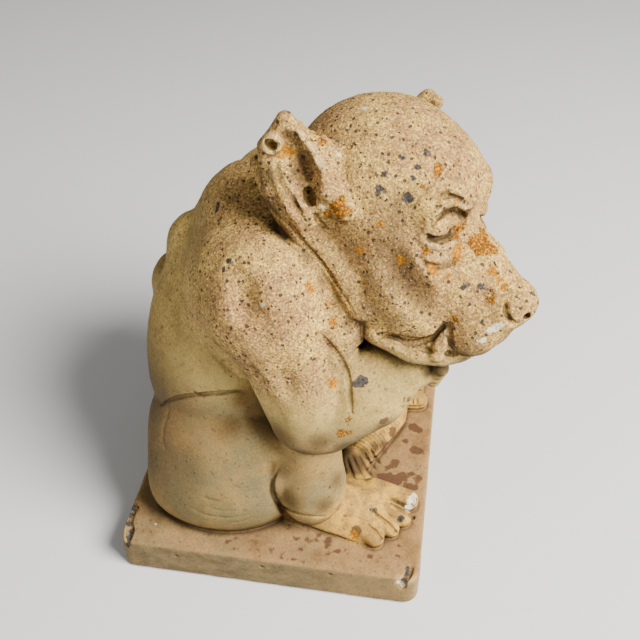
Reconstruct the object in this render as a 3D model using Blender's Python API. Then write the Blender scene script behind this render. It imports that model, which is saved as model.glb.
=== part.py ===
"""A crouching stone gargoyle that rests its chin on its hands, cast in one with a rectangular plinth.

The figure is sculpted as a block of distances: ellipsoids and tapered limbs are blended together, creases
are cut and folds are laid on, and the zero surface is then turned into one closed mesh.
Figure positions are in parts of the figure's own height, x to its left, -y the way it faces, z up.
"""
import bpy
import bmesh
import numpy as np
import openvdb

PLINTH_WIDTH = 0.360
PLINTH_DEPTH = 0.330
PLINTH_HEIGHT = 0.045
PLINTH_CORNER = 0.016
PLINTH_ARRIS = 0.004
FIGURE_HEIGHT = 0.455
HEAD_TURN = 26.0
HEAD_TILT = 17.0
GRID_STEP = 3.2
FACE_LIMIT = 9400
STONE_COLOUR = (0.52, 0.43, 0.31, 1.0)

PARTS_HIGH = 455.0
STAND = 45.0
UNIT = FIGURE_HEIGHT / PARTS_HIGH
HEAD_CENTRE = np.array([0.0, -98.0, 415.0])
BACK_PLANE = 148.0
ROOTS = 8.0
EMPTY = 80.0


def unit_vector(vector):
    return vector / np.linalg.norm(vector)


def head_axes(turn, tilt):
    """Rows: across the head from its right to its left, forward, and up."""
    turn, tilt = np.radians([turn, tilt])
    across = np.array([np.cos(tilt) * np.cos(turn), -np.cos(tilt) * np.sin(turn), -np.sin(tilt)])
    ahead = np.array([-np.sin(turn), -np.cos(turn), 0.0])
    ahead = unit_vector(ahead - ahead.dot(across) * across)
    return np.array([across, ahead, -np.cross(across, ahead)])


HEAD_AXES = head_axes(HEAD_TURN, HEAD_TILT)


def on_head(point):
    """A place given across, ahead and up from the middle of the skull."""
    return HEAD_CENTRE + np.array(point, float) @ HEAD_AXES


def mirrored(points, side):
    return [on_head((side * p[0], p[1], p[2])) for p in points]


def soft_union(one, other, blend):
    if blend <= 0:
        return np.minimum(one, other)
    share = np.maximum(blend - np.abs(one - other), 0.0) / blend
    return np.minimum(one, other) - share * share * blend * 0.25


class Ellipsoid:
    def __init__(self, centre, radii, turn=None):
        self.centre = np.array(centre, float)
        self.radii = np.array(radii, float)
        self.turn = np.eye(3) if turn is None else np.array(turn, float)
        half = np.sqrt(((self.turn * self.radii[:, None]) ** 2).sum(0))
        self.low, self.high = self.centre - half, self.centre + half

    def distance(self, x, y, z):
        x, y, z = x - self.centre[0], y - self.centre[1], z - self.centre[2]
        near, steep = 0.0, 0.0
        for axis, radius in zip(self.turn, self.radii):
            along = x * axis[0] + y * axis[1] + z * axis[2]
            near = near + (along / radius) ** 2
            steep = steep + (along / radius ** 2) ** 2
        near = np.sqrt(near)
        return near * (near - 1.0) / np.maximum(np.sqrt(steep), 1e-6)


class Limb:
    """Round cones end to end through the given points, one radius for each point."""

    def __init__(self, points, radii):
        self.points = np.array(points, float)
        self.radii = np.ones(len(points)) * radii
        reach = self.radii[:, None]
        self.low, self.high = (self.points - reach).min(0), (self.points + reach).max(0)

    def distance(self, x, y, z):
        nearest = None
        for i in range(len(self.points) - 1):
            start = self.points[i]
            run = self.points[i + 1] - start
            along = (x - start[0]) * run[0] + (y - start[1]) * run[1] + (z - start[2]) * run[2]
            along = np.clip(along / max(run.dot(run), 1e-9), 0.0, 1.0)
            away = (x - start[0] - along * run[0]) ** 2 + (y - start[1] - along * run[1]) ** 2
            away = np.sqrt(away + (z - start[2] - along * run[2]) ** 2)
            away = away - self.radii[i] - along * (self.radii[i + 1] - self.radii[i])
            nearest = away if nearest is None else np.minimum(nearest, away)
        return nearest


class Slab:
    """A block with rounded plan corners and softened arrises."""

    def __init__(self, centre, half, corner, arris):
        self.centre = np.array(centre, float)
        self.half = np.array(half, float)
        self.corner, self.arris = corner, arris
        self.low, self.high = self.centre - self.half, self.centre + self.half

    def distance(self, x, y, z):
        x = np.abs(x - self.centre[0]) - self.half[0] + self.corner
        y = np.abs(y - self.centre[1]) - self.half[1] + self.corner
        plan = np.sqrt(np.maximum(x, 0) ** 2 + np.maximum(y, 0) ** 2) + np.minimum(np.maximum(x, y), 0)
        plan = plan - self.corner + self.arris
        rise = np.abs(z - self.centre[2]) - self.half[2] + self.arris
        outside = np.sqrt(np.maximum(plan, 0) ** 2 + np.maximum(rise, 0) ** 2)
        return outside + np.minimum(np.maximum(plan, rise), 0) - self.arris


class Clay:
    """Signed distances on a regular grid, negative inside."""

    def __init__(self, low, high, step):
        self.step = step
        self.axes = [np.arange(a, b + step, step, dtype=np.float32) for a, b in zip(low, high)]
        self.field = np.full([len(axis) for axis in self.axes], EMPTY, np.float32)

    def window(self, low, high):
        return tuple(slice(max(0, int(np.searchsorted(axis, a)) - 1), int(np.searchsorted(axis, b)) + 1)
                     for axis, a, b in zip(self.axes, low, high))

    def piece(self, low, high):
        """An empty block over part of the grid, to be worked apart and joined afterwards."""
        block = Clay.__new__(Clay)
        block.step = self.step
        block.place = self.window(low, high)
        block.axes = [axis[part] for axis, part in zip(self.axes, block.place)]
        block.field = np.full([len(axis) for axis in block.axes], EMPTY, np.float32)
        return block

    def distances(self, shape, blend):
        reach = 2.0 * blend + 4.0 * self.step
        place = self.window(shape.low - reach, shape.high + reach)
        x = self.axes[0][place[0]][:, None, None]
        y = self.axes[1][place[1]][None, :, None]
        z = self.axes[2][place[2]][None, None, :]
        return place, shape.distance(x, y, z).astype(np.float32)

    def add(self, shape, blend=6.0):
        place, new = self.distances(shape, blend)
        self.field[place] = soft_union(self.field[place], new, blend)

    def cut(self, shape, blend=3.0):
        place, new = self.distances(shape, blend)
        self.field[place] = -soft_union(-self.field[place], new, blend)

    def join(self, block, blend):
        self.field[block.place] = soft_union(self.field[block.place], block.field, blend)

    def sample(self, points):
        cells, shares = [], []
        for i in range(3):
            place = np.clip((points[:, i] - self.axes[i][0]) / self.step, 0, len(self.axes[i]) - 1.001)
            cells.append(place.astype(int))
            shares.append(place - place.astype(int))
        total = 0.0
        for corner in np.ndindex(2, 2, 2):
            weight = 1.0
            for i in range(3):
                weight = weight * (shares[i] if corner[i] else 1.0 - shares[i])
            value = self.field[cells[0] + corner[0], cells[1] + corner[1], cells[2] + corner[2]]
            total = total + weight * value
        return total

    def settle(self, points, sink):
        """Points moved to the surface along its slope, then sunk into it by the given depth."""
        points = np.array(points, float)
        for _ in range(6):
            slope = np.stack([self.sample(points + step) - self.sample(points - step)
                              for step in self.step * np.eye(3)], 1)
            slope = slope / np.maximum(np.linalg.norm(slope, axis=1, keepdims=True), 1e-6)
            points = points - 0.9 * (self.sample(points) + sink)[:, None] * slope
        return points

    def groove(self, points, radius, sink=0.0, blend=1.5):
        self.cut(Limb(self.settle(points, sink), radius), blend)

    def fold(self, points, radius, sink=1.5, blend=3.0):
        self.add(Limb(self.settle(points, sink), radius), blend)


def half_space(side, low, high):
    """Limits of a piece that belongs to one side of the figure, side -1 being its right."""
    if side < 0:
        return (-190, low[0], low[1]), (8, high[0], high[1])
    return (-8, low[0], low[1]), (190, high[0], high[1])


def flat_back(block):
    block.cut(Slab((0, BACK_PLANE + 100, 200), (250, 100, 260), 5, 5), 22)


def model_torso(clay):
    torso = clay.piece((-190, -140, 0), (190, 175, 475))
    lean = [(1, 0, 0), (0, 0.577, -0.817), (0, 0.817, 0.577)]
    torso.add(Ellipsoid((0, 36, 300), (110, 128, 80), lean), 10)
    torso.add(Ellipsoid((0, 66, 220), (120, 90, 116)), 30)
    torso.add(Ellipsoid((0, 70, 115), (112, 88, 100)), 30)
    torso.add(Ellipsoid((0, -10, 215), (88, 80, 120)), 30)
    for side in (-1, 1):
        torso.add(Ellipsoid((side * 46, 60, 205), (72, 90, 112)), 20)
    torso.add(Limb([(-80, 22, 340), (80, 22, 340)], 58), 30)
    torso.add(Limb([(0, -20, 392), (0, 40, 372)], 46), 20)
    for side in (-1, 1):
        torso.add(Ellipsoid((side * 48, -42, 292), (46, 46, 66)), 20)
    torso.add(Limb([(0, 34, 408), (0, 102, 336), (0, 130, 280), (0, 142, 200)], (14, 13, 12, 10)), 16)
    flat_back(torso)
    for y, z, radius in ((52, 398, 16), (110, 336, 18), (134, 283, 17)):
        torso.add(Ellipsoid((0, y - 3, z - 2), (28, radius + 5, radius), lean), 11)
    torso.cut(Limb([(-30, 138, 308), (30, 138, 308)], 8), 9)
    clay.join(torso, 0)


def model_leg(clay, side):
    haunch = clay.piece(*half_space(side, (-100, 0), (175, 265)))
    haunch.add(Ellipsoid((side * 78, 60, 118), (68, 98, 100)), 10)
    haunch.add(Ellipsoid((side * 92, 64, 82), (69, 94, 68)), 20)
    haunch.add(Limb([(side * 85, 50, 125), (side * 99, -20, 138)], (60, 40)), 20)
    flat_back(haunch)
    clay.join(haunch, 2.5)
    crease = [(-138, -2, 152), (-142, 0, 134), (-142, -2, 112), (-136, -8, 86), (-122, -10, 62)]
    clay.groove([(-side * x, y, z) for x, y, z in crease], 5, 0, 5)
    shin = clay.piece(*half_space(side, (-175, 0), (60, 210)))
    shin.add(Ellipsoid((side * 109, -39, 94), (39, 37, 48)), 8)
    shin.add(Limb([(side * 104, -36, 165), (side * 106, -38, 100)], (33, 36)), 8)
    clay.join(shin, 2)
    foot = clay.piece(*half_space(side, (-178, 0), (40, 125)))
    foot.add(Limb([(side * 100, -55, 60), (side * 98, -98, 54)], (24, 20)), 8)
    foot.add(Limb([(side * 114, -16, 44), (side * 124, -70, 45), (side * 130, -100, 45)], (12, 15, 13)), 14)
    foot.add(Limb([(side * 70, -60, 48), (side * 74, -110, 48)], (14, 13)), 14)
    foot.add(Ellipsoid((side * 102, -92, 46), (38, 40, 20)), 12)
    toes = (((72, -104), (80, -144), 12.5), ((92, -104), (105, -139), 11.5),
            ((109, -98), (122, -128), 10.5), ((124, -86), (136, -112), 11.5))
    for root, tip, radius in toes:
        foot.add(Limb([(side * root[0], root[1], 55), (side * tip[0], tip[1], 52)], radius), 2)
    clay.join(foot, 3)


def model_arm(clay, side):
    upper = clay.piece(*half_space(side, (-130, 120), (110, 445)))
    upper.add(Ellipsoid((side * 92, 10, 340), (56, 58, 64)), 10)
    upper.add(Limb([(side * 98, 0, 335), (side * 106, -28, 250), (side * 108, -40, 208)], (50, 46, 44)), 25)
    breast = [(-63, -43, 367), (-72, -53, 348), (-83, -60, 328), (-95, -63, 308), (-103, -61, 290)]
    upper.add(Limb([(-side * x, y, z) for x, y, z in breast], (18, 24, 26, 26, 22)), 10)
    for dent in ((140, 13, 380), (156, -7, 349), (153, -27, 288), (150, -2, 235)):
        upper.cut(Ellipsoid((side * (dent[0] + 12), dent[1], dent[2]), (15, 13, 24)), 18)
    clay.join(upper, 4)
    lower = clay.piece((-190, -205, 120), (190, 60, 330))
    if side < 0:
        path, hand = [(-104, -51, 205), (-100, -98, 237), (-89, -126, 263)], (-78, -145, 264)
    else:
        path, hand = [(104, -48, 207), (70, -90, 224), (22, -126, 242)], (-4, -140, 248)
    lower.add(Limb(path, (43, 37, 27)), 8)
    if side < 0:
        lower.add(Limb([(-97, -78, 256), (-90, -105, 270)], (32, 25)), 8)
    lower.add(Ellipsoid(hand, (24, 22, 21)), 8)
    for i in range(4):
        knuckle = np.array(hand) + (-side * (4 * i - 8), -18 + 2 * i, 12 - 9 * i)
        lower.add(Limb([knuckle + (-side * -12, 0, 0), knuckle + (-side * 12, 3, -2)], (8, 7)), 1.5)
    clay.join(lower, 2.5)


def model_face(head, side):
    """One side of the face. Its left eye lies deeper, as the outline between brow and nose shows."""
    deep = 4.5 if side > 0 else 0.0
    head.cut(Ellipsoid(on_head((side * 34, 96, -6)), (18, 17, 15), HEAD_AXES), 8)
    head.add(Ellipsoid(on_head((side * 41, 68, -9)), (19, 16, 17), HEAD_AXES), 5)
    brow = [(64, 62, 14), (58, 66, 24), (48, 73, 30), (42, 79, 29), (33, 87, 24), (22, 91, 14)]
    head.fold(mirrored(brow, side), 5.5, 2.5 + deep, 6)
    lid = [(59, 72, 0), (52, 80, 12), (41, 87, 13), (28, 90, 8)]
    head.fold(mirrored(lid, side), 4.5, 1 + deep, 4)
    head.groove(mirrored([(56, 73, -6), (53, 75, 0), (45, 81, 5), (32, 86, 5), (22, 88, -2)], side),
                2.4, -0.2 * deep)
    head.groove(mirrored([(60, 75, 11), (57, 78, 18), (51, 83, 22), (41, 88, 20), (29, 92, 13)], side),
                2.2, -0.3 * deep)
    head.cut(Ellipsoid(on_head((side * 21, 91, -1)), (5, 8, 6), HEAD_AXES), 3)
    under = [(58, 71, -21), (53, 76, -26), (46, 82, -28), (34, 86, -26), (25, 88, -20)]
    head.fold(mirrored(under, side), 4.5, 0.5, 3)
    head.groove(mirrored([(57, 73, -16), (52, 77, -18), (44, 81, -18), (32, 84, -15), (25, 86, -11)], side),
                2.6)
    head.groove(mirrored([(63, 73, -34), (61, 79, -39), (51, 88, -41), (39, 95, -37)], side), 2.4)
    hollow = [(77, 57, -46), (74, 68, -55), (69, 79, -65), (63, 87, -74)]
    head.cut(Limb(head.settle(mirrored(hollow, side), -8.5), 14), 14)
    mouth = [(66, 54, -119), (61, 67, -117), (55, 80, -117), (49, 89, -116), (43, 98, -109), (40, 103, -97)]
    head.groove(mirrored(mouth, side), 3.2)
    tusk = mirrored([(43, 104, -124), (41, 105, -110), (40, 105, -97)], side)
    head.add(Limb(head.settle(tusk, 0.5), (9, 6, 2)), 1.5)
    head.groove(mirrored([(39, 107, -94), (38, 109, -106), (34, 114, -117), (30, 122, -122)], side), 2.4)
    head.groove(mirrored([(30, 122, -122), (18, 132, -123), (0, 138, -122)], side), 3.4)
    head.groove(mirrored([(17, 144, -64), (18, 146, -70), (16, 149, -76), (13, 155, -78)], side), 1.9)
    head.cut(Ellipsoid(on_head((side * 9, 162, -71)), (3.5, 5, 3.5), HEAD_AXES), 2)


def model_ear(head, side):
    if side < 0:
        tip, rim, bowl = (117, -50, 58), (101, -24, 26), [(123, -52, 34), (117, -43, 8), (110, -35, -12)]
    else:
        tip, rim, bowl = (121, -37, 61), (102, -16, 26), [(127, -48, 34), (119, -41, 8), (111, -33, -12)]
    front = mirrored([tip, rim, (87, 4, -8)], side)
    back = mirrored([tip, (119, -64, 32), (112, -58, -6), (94, -32, -38)], side)
    web = mirrored([(109, tip[1] - 2, 48), (99, -46, 20), (88, -36, -20)], side)
    head.add(Limb(web, (11, 21, 24)), 8)
    head.add(Ellipsoid(on_head((side * 84, -36, -2)), (22, 30, 50), HEAD_AXES), 8)
    head.add(Limb(mirrored([(84, -32, -47), (73, -23, -62), (66, -13, -72)], side), (14, 16, 16)), 12)
    head.add(Limb(mirrored([(81, -26, -48), (73, -8, -63), (72, 12, -80), (69, 30, -100)], side),
                  (14, 14, 13, 12)), 10)
    head.add(Limb(front, (7, 9, 12)), 6)
    root = mirrored([(98, -84, 8), (96, -70, -14), (94, -55, -28), (90, -34, -44)], side)
    head.add(Limb(root, 8), 10)
    head.add(Limb(back, (7, 8, 8, 10)), 6)
    head.cut(Limb(mirrored(bowl, side), (8, 13, 11)), 4)
    head.add(Ellipsoid(on_head((side * 93, -12, -8)), (9, 8, 12), HEAD_AXES), 4)
    head.cut(Limb(mirrored([(112, -30, -8), (97, -25, -8)], side), 4.5), 2)


def model_head(clay):
    head = clay.piece((-190, -275, 200), (190, 120, 520))
    head.add(Ellipsoid(on_head((0, -6, -5)), (88, 92, 86), HEAD_AXES), 4)
    head.add(Ellipsoid(on_head((0, 41, 13)), (60, 46, 45), HEAD_AXES), 16)
    head.add(Limb([on_head((0, 62, -44)), on_head((0, 96, -54)), on_head((0, 137, -68))], (46, 38, 25)), 14)
    head.add(Ellipsoid(on_head((0, 148, -65)), (18, 20, 19), HEAD_AXES), 8)
    head.add(Ellipsoid(on_head((0, -10, -62)), (74, 66, 58), HEAD_AXES), 20)
    head.add(Ellipsoid(on_head((0, 60, -105)), (56, 60, 36), HEAD_AXES), 14)
    for side in (-1, 1):
        head.add(Limb(mirrored([(50, 58, 12), (36, 70, 20), (14, 79, 15)], side), (12, 12, 12)), 12)
        head.add(Ellipsoid(on_head((side * 40, 46, -68)), (38, 52, 56), HEAD_AXES), 16)
        head.add(Ellipsoid(on_head((side * 14, 120, -98)), (25, 26, 28), HEAD_AXES), 12)
        head.add(Limb(mirrored([(10, 140, -76), (11, 122, -94), (10, 104, -118)], side), (19, 25, 23)), 8)
        head.add(Ellipsoid(on_head((side * 28, 98, -66)), (15, 22, 26), HEAD_AXES), 12)
        jaw = [(56, 44, -122), (46, 82, -130), (27, 102, -131), (0, 108, -130)]
        head.add(Limb(mirrored(jaw, side), 12), 8)
    for side in (-1, 1):
        model_face(head, side)
        model_ear(head, side)
    head.add(Limb([on_head((0, -20, -60)), (0, 0, 325)], (70, 78)), 10)
    clay.join(head, 3)


def model_tail(clay):
    clay.add(Limb([(62, -118, 58), (42, -116, 57), (16, -104, 56), (-10, -90, 55), (-32, -78, 54)],
                  (15, 16, 16, 17, 18)), 4)
    clay.add(Limb([(-34, -78, 52), (-50, -80, 49), (-56, -96, 46)], (17, 14, 7)), 6)


def sculpt(step):
    clay = Clay((-190, -275, -12), (190, 175, 520), step)
    model_torso(clay)
    for side in (-1, 1):
        model_leg(clay, side)
        flank = [(-105, 116, 190), (-116, 89, 212), (-120, 66, 224), (-117, 46, 229), (-111, 29, 227)]
        clay.groove([(-side * x, y, z) for x, y, z in flank], 3.0, 0, 3)
    for side in (-1, 1):
        model_arm(clay, side)
    model_head(clay)
    model_tail(clay)
    clay.cut(Slab((0, 0, STAND - ROOTS - 60), (400, 400, 60), 1, 1), 0)
    return clay


def surface(clay):
    grid = openvdb.FloatGrid(EMPTY)
    grid.copyFromArray(clay.field)
    points, quads = grid.convertToQuads(0.0)
    low = np.array([axis[0] for axis in clay.axes])
    points = np.array(points) * clay.step + low
    points[:, 2] = points[:, 2] - STAND
    points = points * UNIT + (0, 0, PLINTH_HEIGHT)
    return points, np.array(quads)


def largest_shell(mesh):
    """Only the outer skin is kept, so nothing closed off inside it stays as a bubble."""
    form = bmesh.new()
    form.from_mesh(mesh)
    form.faces.ensure_lookup_table()
    waiting = set(form.faces)
    shells = []
    while waiting:
        start = waiting.pop()
        shell, front = [start], [start]
        while front:
            face = front.pop()
            for edge in face.edges:
                for beside in edge.link_faces:
                    if beside in waiting:
                        waiting.remove(beside)
                        shell.append(beside)
                        front.append(beside)
        shells.append(shell)
    shells.sort(key=len)
    for shell in shells[:-1]:
        bmesh.ops.delete(form, geom=shell, context="FACES")
    bmesh.ops.delete(form, geom=[v for v in form.verts if not v.link_faces], context="VERTS")
    form.to_mesh(mesh)
    form.free()


def stone_material():
    material = bpy.data.materials.new("buff_cast_stone")
    material.use_nodes = True
    shader = material.node_tree.nodes["Principled BSDF"]
    shader.inputs["Base Color"].default_value = STONE_COLOUR
    shader.inputs["Roughness"].default_value = 0.92
    return material


def evaluated_mesh(thing):
    graph = bpy.context.evaluated_depsgraph_get()
    graph.update()
    return bpy.data.meshes.new_from_object(thing.evaluated_get(graph))


def make_plinth():
    bpy.ops.mesh.primitive_cube_add(size=1.0, location=(0, 0, PLINTH_HEIGHT / 2))
    plinth = bpy.context.object
    plinth.scale = (PLINTH_WIDTH, PLINTH_DEPTH, PLINTH_HEIGHT)
    bpy.ops.object.transform_apply(location=True, rotation=False, scale=True)
    form = bmesh.new()
    form.from_mesh(plinth.data)
    upright = [e for e in form.edges if abs(e.verts[0].co.z - e.verts[1].co.z) > PLINTH_HEIGHT / 2]
    bmesh.ops.bevel(form, geom=upright, offset=PLINTH_CORNER, segments=6, profile=0.5, affect="EDGES")
    rim = [e for e in form.edges if min(v.co.z for v in e.verts) > PLINTH_HEIGHT - 1e-6]
    bmesh.ops.bevel(form, geom=rim, offset=PLINTH_ARRIS, segments=2, profile=0.5, affect="EDGES")
    form.to_mesh(plinth.data)
    form.free()
    return plinth


def make_figure(gathering):
    points, quads = surface(sculpt(GRID_STEP))
    mesh = bpy.data.meshes.new("figure")
    mesh.from_pydata(points.tolist(), [], quads.tolist())
    mesh.update()
    largest_shell(mesh)
    figure = bpy.data.objects.new("figure", mesh)
    gathering.objects.link(figure)
    thin = figure.modifiers.new("fewer_faces", "DECIMATE")
    thin.ratio = FACE_LIMIT / (2.0 * len(mesh.polygons))
    return figure


def make_gargoyle(gathering):
    """The figure and its plinth are one casting, so they end as one solid."""
    figure = make_figure(gathering)
    plinth = make_plinth()
    weld = figure.modifiers.new("on_plinth", "BOOLEAN")
    weld.operation = "UNION"
    weld.solver = "EXACT"
    weld.object = plinth
    mesh = evaluated_mesh(figure)
    bpy.data.objects.remove(figure)
    bpy.data.objects.remove(plinth)
    mesh.name = "gargoyle"
    mesh.materials.clear()
    mesh.materials.append(stone_material())
    gathering.objects.link(bpy.data.objects.new("gargoyle", mesh))


for old in list(bpy.data.objects):
    bpy.data.objects.remove(old)
gathering = bpy.data.collections.new("stone_gargoyle")
bpy.context.scene.collection.children.link(gathering)
make_gargoyle(gathering)
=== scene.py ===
"""Looks for the stone gargoyle: the casting is sculpted again at a finer grid than the solid, with its
lids, lips, ear folds, toes, wrinkles, chips and weathered skin, and dressed in one procedural stone.

Lengths while sculpting are millimetres in the frame's axes. Carving that shows in the photograph is laid
along lines of image places, thrown from the camera onto the clay. Face, flanks and feet get a guessed
twin on the far side.
"""
import bpy
import numpy as np
import openvdb
from mathutils import Matrix, Vector
from mathutils.bvhtree import BVHTree
from types import SimpleNamespace


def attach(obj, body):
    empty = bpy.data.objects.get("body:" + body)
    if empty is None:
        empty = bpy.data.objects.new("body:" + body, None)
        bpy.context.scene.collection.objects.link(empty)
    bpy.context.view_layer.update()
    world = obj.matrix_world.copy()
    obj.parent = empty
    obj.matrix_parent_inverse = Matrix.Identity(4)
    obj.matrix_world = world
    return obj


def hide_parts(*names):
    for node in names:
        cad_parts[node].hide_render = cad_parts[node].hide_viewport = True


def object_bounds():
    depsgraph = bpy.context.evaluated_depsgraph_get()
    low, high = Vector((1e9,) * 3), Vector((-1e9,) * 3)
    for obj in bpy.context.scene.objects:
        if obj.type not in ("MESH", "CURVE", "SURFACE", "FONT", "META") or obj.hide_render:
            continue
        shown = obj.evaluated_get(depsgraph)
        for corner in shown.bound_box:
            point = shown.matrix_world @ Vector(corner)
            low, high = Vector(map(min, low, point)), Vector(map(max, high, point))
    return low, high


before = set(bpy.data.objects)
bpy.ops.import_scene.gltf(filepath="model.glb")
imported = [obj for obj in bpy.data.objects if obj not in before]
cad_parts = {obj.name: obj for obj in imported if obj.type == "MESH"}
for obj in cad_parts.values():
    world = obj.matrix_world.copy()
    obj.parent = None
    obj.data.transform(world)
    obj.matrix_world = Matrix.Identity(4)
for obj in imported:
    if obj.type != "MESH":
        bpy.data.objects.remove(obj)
cad_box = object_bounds()

STEP = 1.4
FACES = 196000
CAMERA_AT = np.array([-0.7205, -0.1452, 0.8531])
CAMERA_AHEAD = np.array([0.7544, 0.1196, -0.6455])
CAMERA_RIGHT = np.array([0.1566, -0.9877, 0.0])
FOCAL = 885.0
IMAGE = 640
SENSOR = 36.0
SIGHT_REACH = (700.0, 1500.0)

HEAD_TURN = 26.0
HEAD_TILT = 17.0
HEAD_CENTRE = np.array([0.0, -98.0, 415.0])
BACK_PLANE = 148.0
PLINTH = (360.0, 330.0, 45.0)
PLINTH_CORNER = 16.0
PLINTH_ARRIS = 5.0
STAND = 45.0
ROOTS = 8.0
EMPTY = 80.0
CLEARANCE = 0.02
BASE_BAND = 1.2
AIM = (0.0, 0.0, 0.25)
FLOOR_HALF = 4.0
FLOOR_LEVEL = -0.0003


def unit_vector(vector):
    return vector / np.linalg.norm(vector)


def head_axes(turn, tilt):
    """Rows: across the head from its right to its left, forward, and up."""
    turn, tilt = np.radians([turn, tilt])
    across = np.array([np.cos(tilt) * np.cos(turn), -np.cos(tilt) * np.sin(turn), -np.sin(tilt)])
    ahead = np.array([-np.sin(turn), -np.cos(turn), 0.0])
    ahead = unit_vector(ahead - ahead.dot(across) * across)
    return np.array([across, ahead, -np.cross(across, ahead)])


HEAD_AXES = head_axes(HEAD_TURN, HEAD_TILT)


def on_head(point):
    """A place given across, ahead and up from the middle of the skull."""
    return HEAD_CENTRE + np.array(point, float) @ HEAD_AXES


def mirrored(points, side):
    return [on_head((side * p[0], p[1], p[2])) for p in points]


def soft_union(one, other, blend):
    if blend <= 0:
        return np.minimum(one, other)
    share = np.maximum(blend - np.abs(one - other), 0.0) / blend
    return np.minimum(one, other) - share * share * blend * 0.25


class Ellipsoid:
    def __init__(self, centre, radii, turn=None):
        self.centre = np.array(centre, float)
        self.radii = np.array(radii, float)
        self.turn = np.eye(3) if turn is None else np.array(turn, float)
        half = np.sqrt(((self.turn * self.radii[:, None]) ** 2).sum(0))
        self.low, self.high = self.centre - half, self.centre + half

    def distance(self, x, y, z):
        x, y, z = x - self.centre[0], y - self.centre[1], z - self.centre[2]
        near, steep = 0.0, 0.0
        for axis, radius in zip(self.turn, self.radii):
            along = x * axis[0] + y * axis[1] + z * axis[2]
            near = near + (along / radius) ** 2
            steep = steep + (along / radius ** 2) ** 2
        near = np.sqrt(near)
        return near * (near - 1.0) / np.maximum(np.sqrt(steep), 1e-6)


class Limb:
    """Round cones end to end through the given points, one radius for each point."""

    def __init__(self, points, radii):
        self.points = np.array(points, float)
        self.radii = np.ones(len(points)) * radii
        reach = self.radii[:, None]
        self.low, self.high = (self.points - reach).min(0), (self.points + reach).max(0)

    def distance(self, x, y, z):
        nearest = None
        for i in range(len(self.points) - 1):
            start = self.points[i]
            run = self.points[i + 1] - start
            along = (x - start[0]) * run[0] + (y - start[1]) * run[1] + (z - start[2]) * run[2]
            along = np.clip(along / max(run.dot(run), 1e-9), 0.0, 1.0)
            away = (x - start[0] - along * run[0]) ** 2 + (y - start[1] - along * run[1]) ** 2
            away = np.sqrt(away + (z - start[2] - along * run[2]) ** 2)
            away = away - self.radii[i] - along * (self.radii[i + 1] - self.radii[i])
            nearest = away if nearest is None else np.minimum(nearest, away)
        return nearest


class Slab:
    """A block with rounded plan corners and softened arrises."""

    def __init__(self, centre, half, corner, arris):
        self.centre = np.array(centre, float)
        self.half = np.array(half, float)
        self.corner, self.arris = corner, arris
        self.low, self.high = self.centre - self.half, self.centre + self.half

    def distance(self, x, y, z):
        x = np.abs(x - self.centre[0]) - self.half[0] + self.corner
        y = np.abs(y - self.centre[1]) - self.half[1] + self.corner
        plan = np.sqrt(np.maximum(x, 0) ** 2 + np.maximum(y, 0) ** 2) + np.minimum(np.maximum(x, y), 0)
        plan = plan - self.corner + self.arris
        rise = np.abs(z - self.centre[2]) - self.half[2] + self.arris
        outside = np.sqrt(np.maximum(plan, 0) ** 2 + np.maximum(rise, 0) ** 2)
        return outside + np.minimum(np.maximum(plan, rise), 0) - self.arris


class Clay:
    """Signed distances on a regular grid, negative inside."""

    def __init__(self, low, high, step):
        self.step = step
        self.axes = [np.arange(a, b + step, step, dtype=np.float32) for a, b in zip(low, high)]
        self.field = np.full([len(axis) for axis in self.axes], EMPTY, np.float32)

    def window(self, low, high):
        return tuple(slice(max(0, int(np.searchsorted(axis, a)) - 1), int(np.searchsorted(axis, b)) + 1)
                     for axis, a, b in zip(self.axes, low, high))

    def piece(self, low, high):
        """An empty block over part of the grid, to be worked apart and joined afterwards."""
        block = Clay.__new__(Clay)
        block.step = self.step
        block.place = self.window(low, high)
        block.axes = [axis[part] for axis, part in zip(self.axes, block.place)]
        block.field = np.full([len(axis) for axis in block.axes], EMPTY, np.float32)
        return block

    def distances(self, shape, blend):
        reach = 2.0 * blend + 4.0 * self.step
        place = self.window(shape.low - reach, shape.high + reach)
        x = self.axes[0][place[0]][:, None, None]
        y = self.axes[1][place[1]][None, :, None]
        z = self.axes[2][place[2]][None, None, :]
        return place, shape.distance(x, y, z).astype(np.float32)

    def add(self, shape, blend=6.0):
        place, new = self.distances(shape, blend)
        self.field[place] = soft_union(self.field[place], new, blend)

    def cut(self, shape, blend=3.0):
        place, new = self.distances(shape, blend)
        self.field[place] = -soft_union(-self.field[place], new, blend)

    def join(self, block, blend):
        self.field[block.place] = soft_union(self.field[block.place], block.field, blend)

    def sample(self, points):
        cells, shares = [], []
        for i in range(3):
            place = np.clip((points[:, i] - self.axes[i][0]) / self.step, 0, len(self.axes[i]) - 1.001)
            cells.append(place.astype(int))
            shares.append(place - place.astype(int))
        total = 0.0
        for corner in np.ndindex(2, 2, 2):
            weight = 1.0
            for i in range(3):
                weight = weight * (shares[i] if corner[i] else 1.0 - shares[i])
            value = self.field[cells[0] + corner[0], cells[1] + corner[1], cells[2] + corner[2]]
            total = total + weight * value
        return total

    def settle(self, points, sink):
        """Points moved to the surface along its slope, then sunk into it by the given depth."""
        points = np.array(points, float)
        for _ in range(6):
            slope = np.stack([self.sample(points + step) - self.sample(points - step)
                              for step in self.step * np.eye(3)], 1)
            slope = slope / np.maximum(np.linalg.norm(slope, axis=1, keepdims=True), 1e-6)
            points = points - 0.9 * (self.sample(points) + sink)[:, None] * slope
        return points

    def groove(self, points, radius, sink=0.0, blend=1.5):
        self.cut(Limb(self.settle(points, sink), radius), blend)

    def fold(self, points, radius, sink=1.5, blend=3.0):
        self.add(Limb(self.settle(points, sink), radius), blend)


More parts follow.
